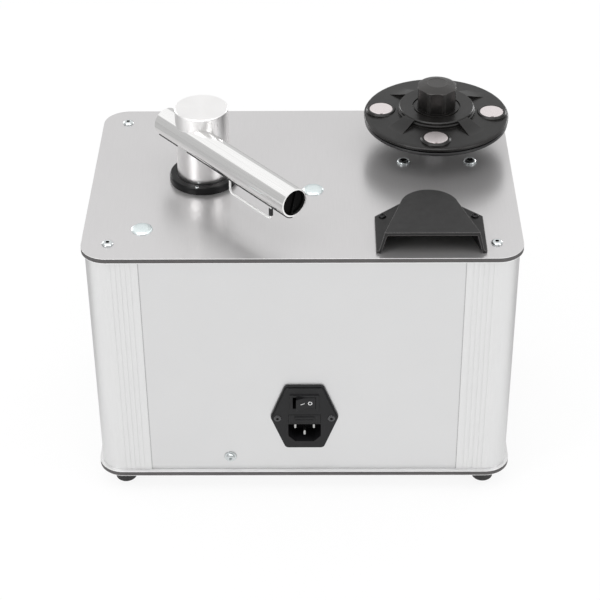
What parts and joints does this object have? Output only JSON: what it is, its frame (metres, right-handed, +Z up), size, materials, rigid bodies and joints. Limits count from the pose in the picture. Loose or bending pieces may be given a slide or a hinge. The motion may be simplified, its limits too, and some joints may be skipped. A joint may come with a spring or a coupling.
{
  "type": "record cleaning machine",
  "caption": "Vacuum record cleaning machine: a metal case with a driven platter and clamp, a swivelling suction arm over a waste tank, and a fan with an exhaust hood.",
  "frame": {"origin": "centre of the case's footprint on the floor under its feet", "axes": "+Z up, +X towards the platter's side, -Y the rear with the mains inlet, +Y the front with the two switches"},
  "size_m": [0.312, 0.2176, 0.2733],
  "materials": {
    "plate_core": "satin dark core",
    "plate_skin": "satin, fine upright brushing",
    "profile_metal": "satin anodised",
    "panel_metal": "satin light grey",
    "foot_rubber": "matt",
    "steel": "bright zinc plated",
    "hood_plastic": "fine matt",
    "black_screw": "black oxide",
    "black_plastic": "fine matt",
    "contact_metal": "nickel plated",
    "motor_metal": "plain metal",
    "polished_aluminium": "turned and polished",
    "platter_plastic": "satin",
    "mat_rubber": "matt",
    "clamp_plastic": "fine matt, soft sheen",
    "felt": "short pile",
    "tank_plastic": "milky",
    "hose_plastic": "ribbed",
    "board": "solder mask"
  },
  "bodies": {
    "case": {"bottom_plate_core": "plate_core", "bottom_plate_skins": "plate_skin", "top_plate_core": "plate_core", "top_plate_skins": "plate_skin", "profile_rear_left": "profile_metal", "profile_rear_right": "profile_metal", "profile_front_left": "profile_metal", "profile_front_right": "profile_metal", "panel_rear": "panel_metal", "panel_front": "panel_metal", "panel_left": "panel_metal", "panel_right": "panel_metal", "feet": "foot_rubber", "foot_screws": "steel", "case_screws": "steel", "exhaust_hood": "hood_plastic", "hood_screws": "black_screw", "inlet_housing": "black_plastic", "inlet_pins": "contact_metal", "inlet_screws": "black_screw", "earth_terminal": "steel", "switch_bezels": "black_plastic", "gearbox": "motor_metal", "drive_motor": "motor_metal", "motor_screws": "steel", "arm_ring": "black_plastic", "ring_screws": "steel", "neck_seal": "mat_rubber", "tank": "tank_plastic", "tank_lid": "tank_plastic", "tank_gasket": "mat_rubber", "tank_bolts": "steel", "vacuum_motor": "motor_metal", "fan_casing": "motor_metal", "fan_cover": "black_plastic", "suction_hose": "hose_plastic", "motor_mount": "foot_rubber", "control_board": "board", "board_posts": "steel", "inner_screws": "steel"},
    "platter": {"spindle": "polished_aluminium", "platter": "platter_plastic", "platter_mat": "mat_rubber"},
    "clamp": {"clamp_disc": "clamp_plastic", "clamp_pad": "mat_rubber", "clamp_inserts": "polished_aluminium"},
    "knob": {"clamp_knob": "clamp_plastic"},
    "bush": {"arm_bush": "black_plastic", "arm_spring": "steel"},
    "arm": {"arm_post": "polished_aluminium", "suction_tube": "polished_aluminium", "felt_strips": "felt", "tube_plugs": "mat_rubber", "wire_loop": "polished_aluminium", "wire_sleeve": "mat_rubber"},
    "mains_rocker": {"mains_rocker": "black_plastic"},
    "rotation_rocker": {"rotation_rocker": "black_plastic"},
    "suction_rocker": {"suction_rocker": "black_plastic"},
    "fuse_drawer": {"fuse_drawer": "black_plastic"},
    "fan": {"fan_wheel": "motor_metal"}
  },
  "joints": [
    {"name": "platter_spin", "type": "hinge", "parent": "case", "child": "platter", "pos_m": [0.1007, 0.0499, 0.214], "axis": [0, 0, 1], "continuous": true},
    {"name": "clamp_lift", "type": "slide", "parent": "platter", "child": "clamp", "axis": [0, 0, 1], "range_m": [0, 0.01625]},
    {"name": "knob_turn", "type": "hinge", "parent": "clamp", "child": "knob", "pos_m": [0.1007, 0.0499, 0.2485], "axis": [0, 0, 1], "range_deg": [0, 4680.5]},
    {"name": "arm_swivel", "type": "hinge", "parent": "case", "child": "bush", "pos_m": [-0.0734, 0.004, 0.214], "axis": [0, 0, 1], "range_deg": [-20, 72]},
    {"name": "arm_lower", "type": "slide", "parent": "bush", "child": "arm", "axis": [0, 0, -1], "range_m": [0, 0.003], "stiffness_N_per_m": 700, "springref_m": -0.006, "deforming": ["arm_spring"]},
    {"name": "mains_switch", "type": "hinge", "parent": "case", "child": "mains_rocker", "pos_m": [0.0008, -0.102, 0.08615], "axis": [0, 0, 1], "range_deg": [-24, 0]},
    {"name": "rotation_switch", "type": "hinge", "parent": "case", "child": "rotation_rocker", "pos_m": [-0.034, 0.102, 0.174], "axis": [0, 0, 1], "range_deg": [-12, 12]},
    {"name": "suction_switch", "type": "hinge", "parent": "case", "child": "suction_rocker", "pos_m": [0.034, 0.102, 0.174], "axis": [0, 0, 1], "range_deg": [-24, 0]},
    {"name": "fuse_drawer_slide", "type": "slide", "parent": "case", "child": "fuse_drawer", "axis": [0, -1, 0], "range_m": [0, 0.018]},
    {"name": "fan_spin", "type": "hinge", "parent": "case", "child": "fan", "pos_m": [0.086, -0.04, 0.11], "axis": [0, 0, 1], "continuous": true}
  ],
  "couplings": [
    {"joint": "knob_turn", "follows": "clamp_lift", "rad_per_m": 5026.5}
  ]
}
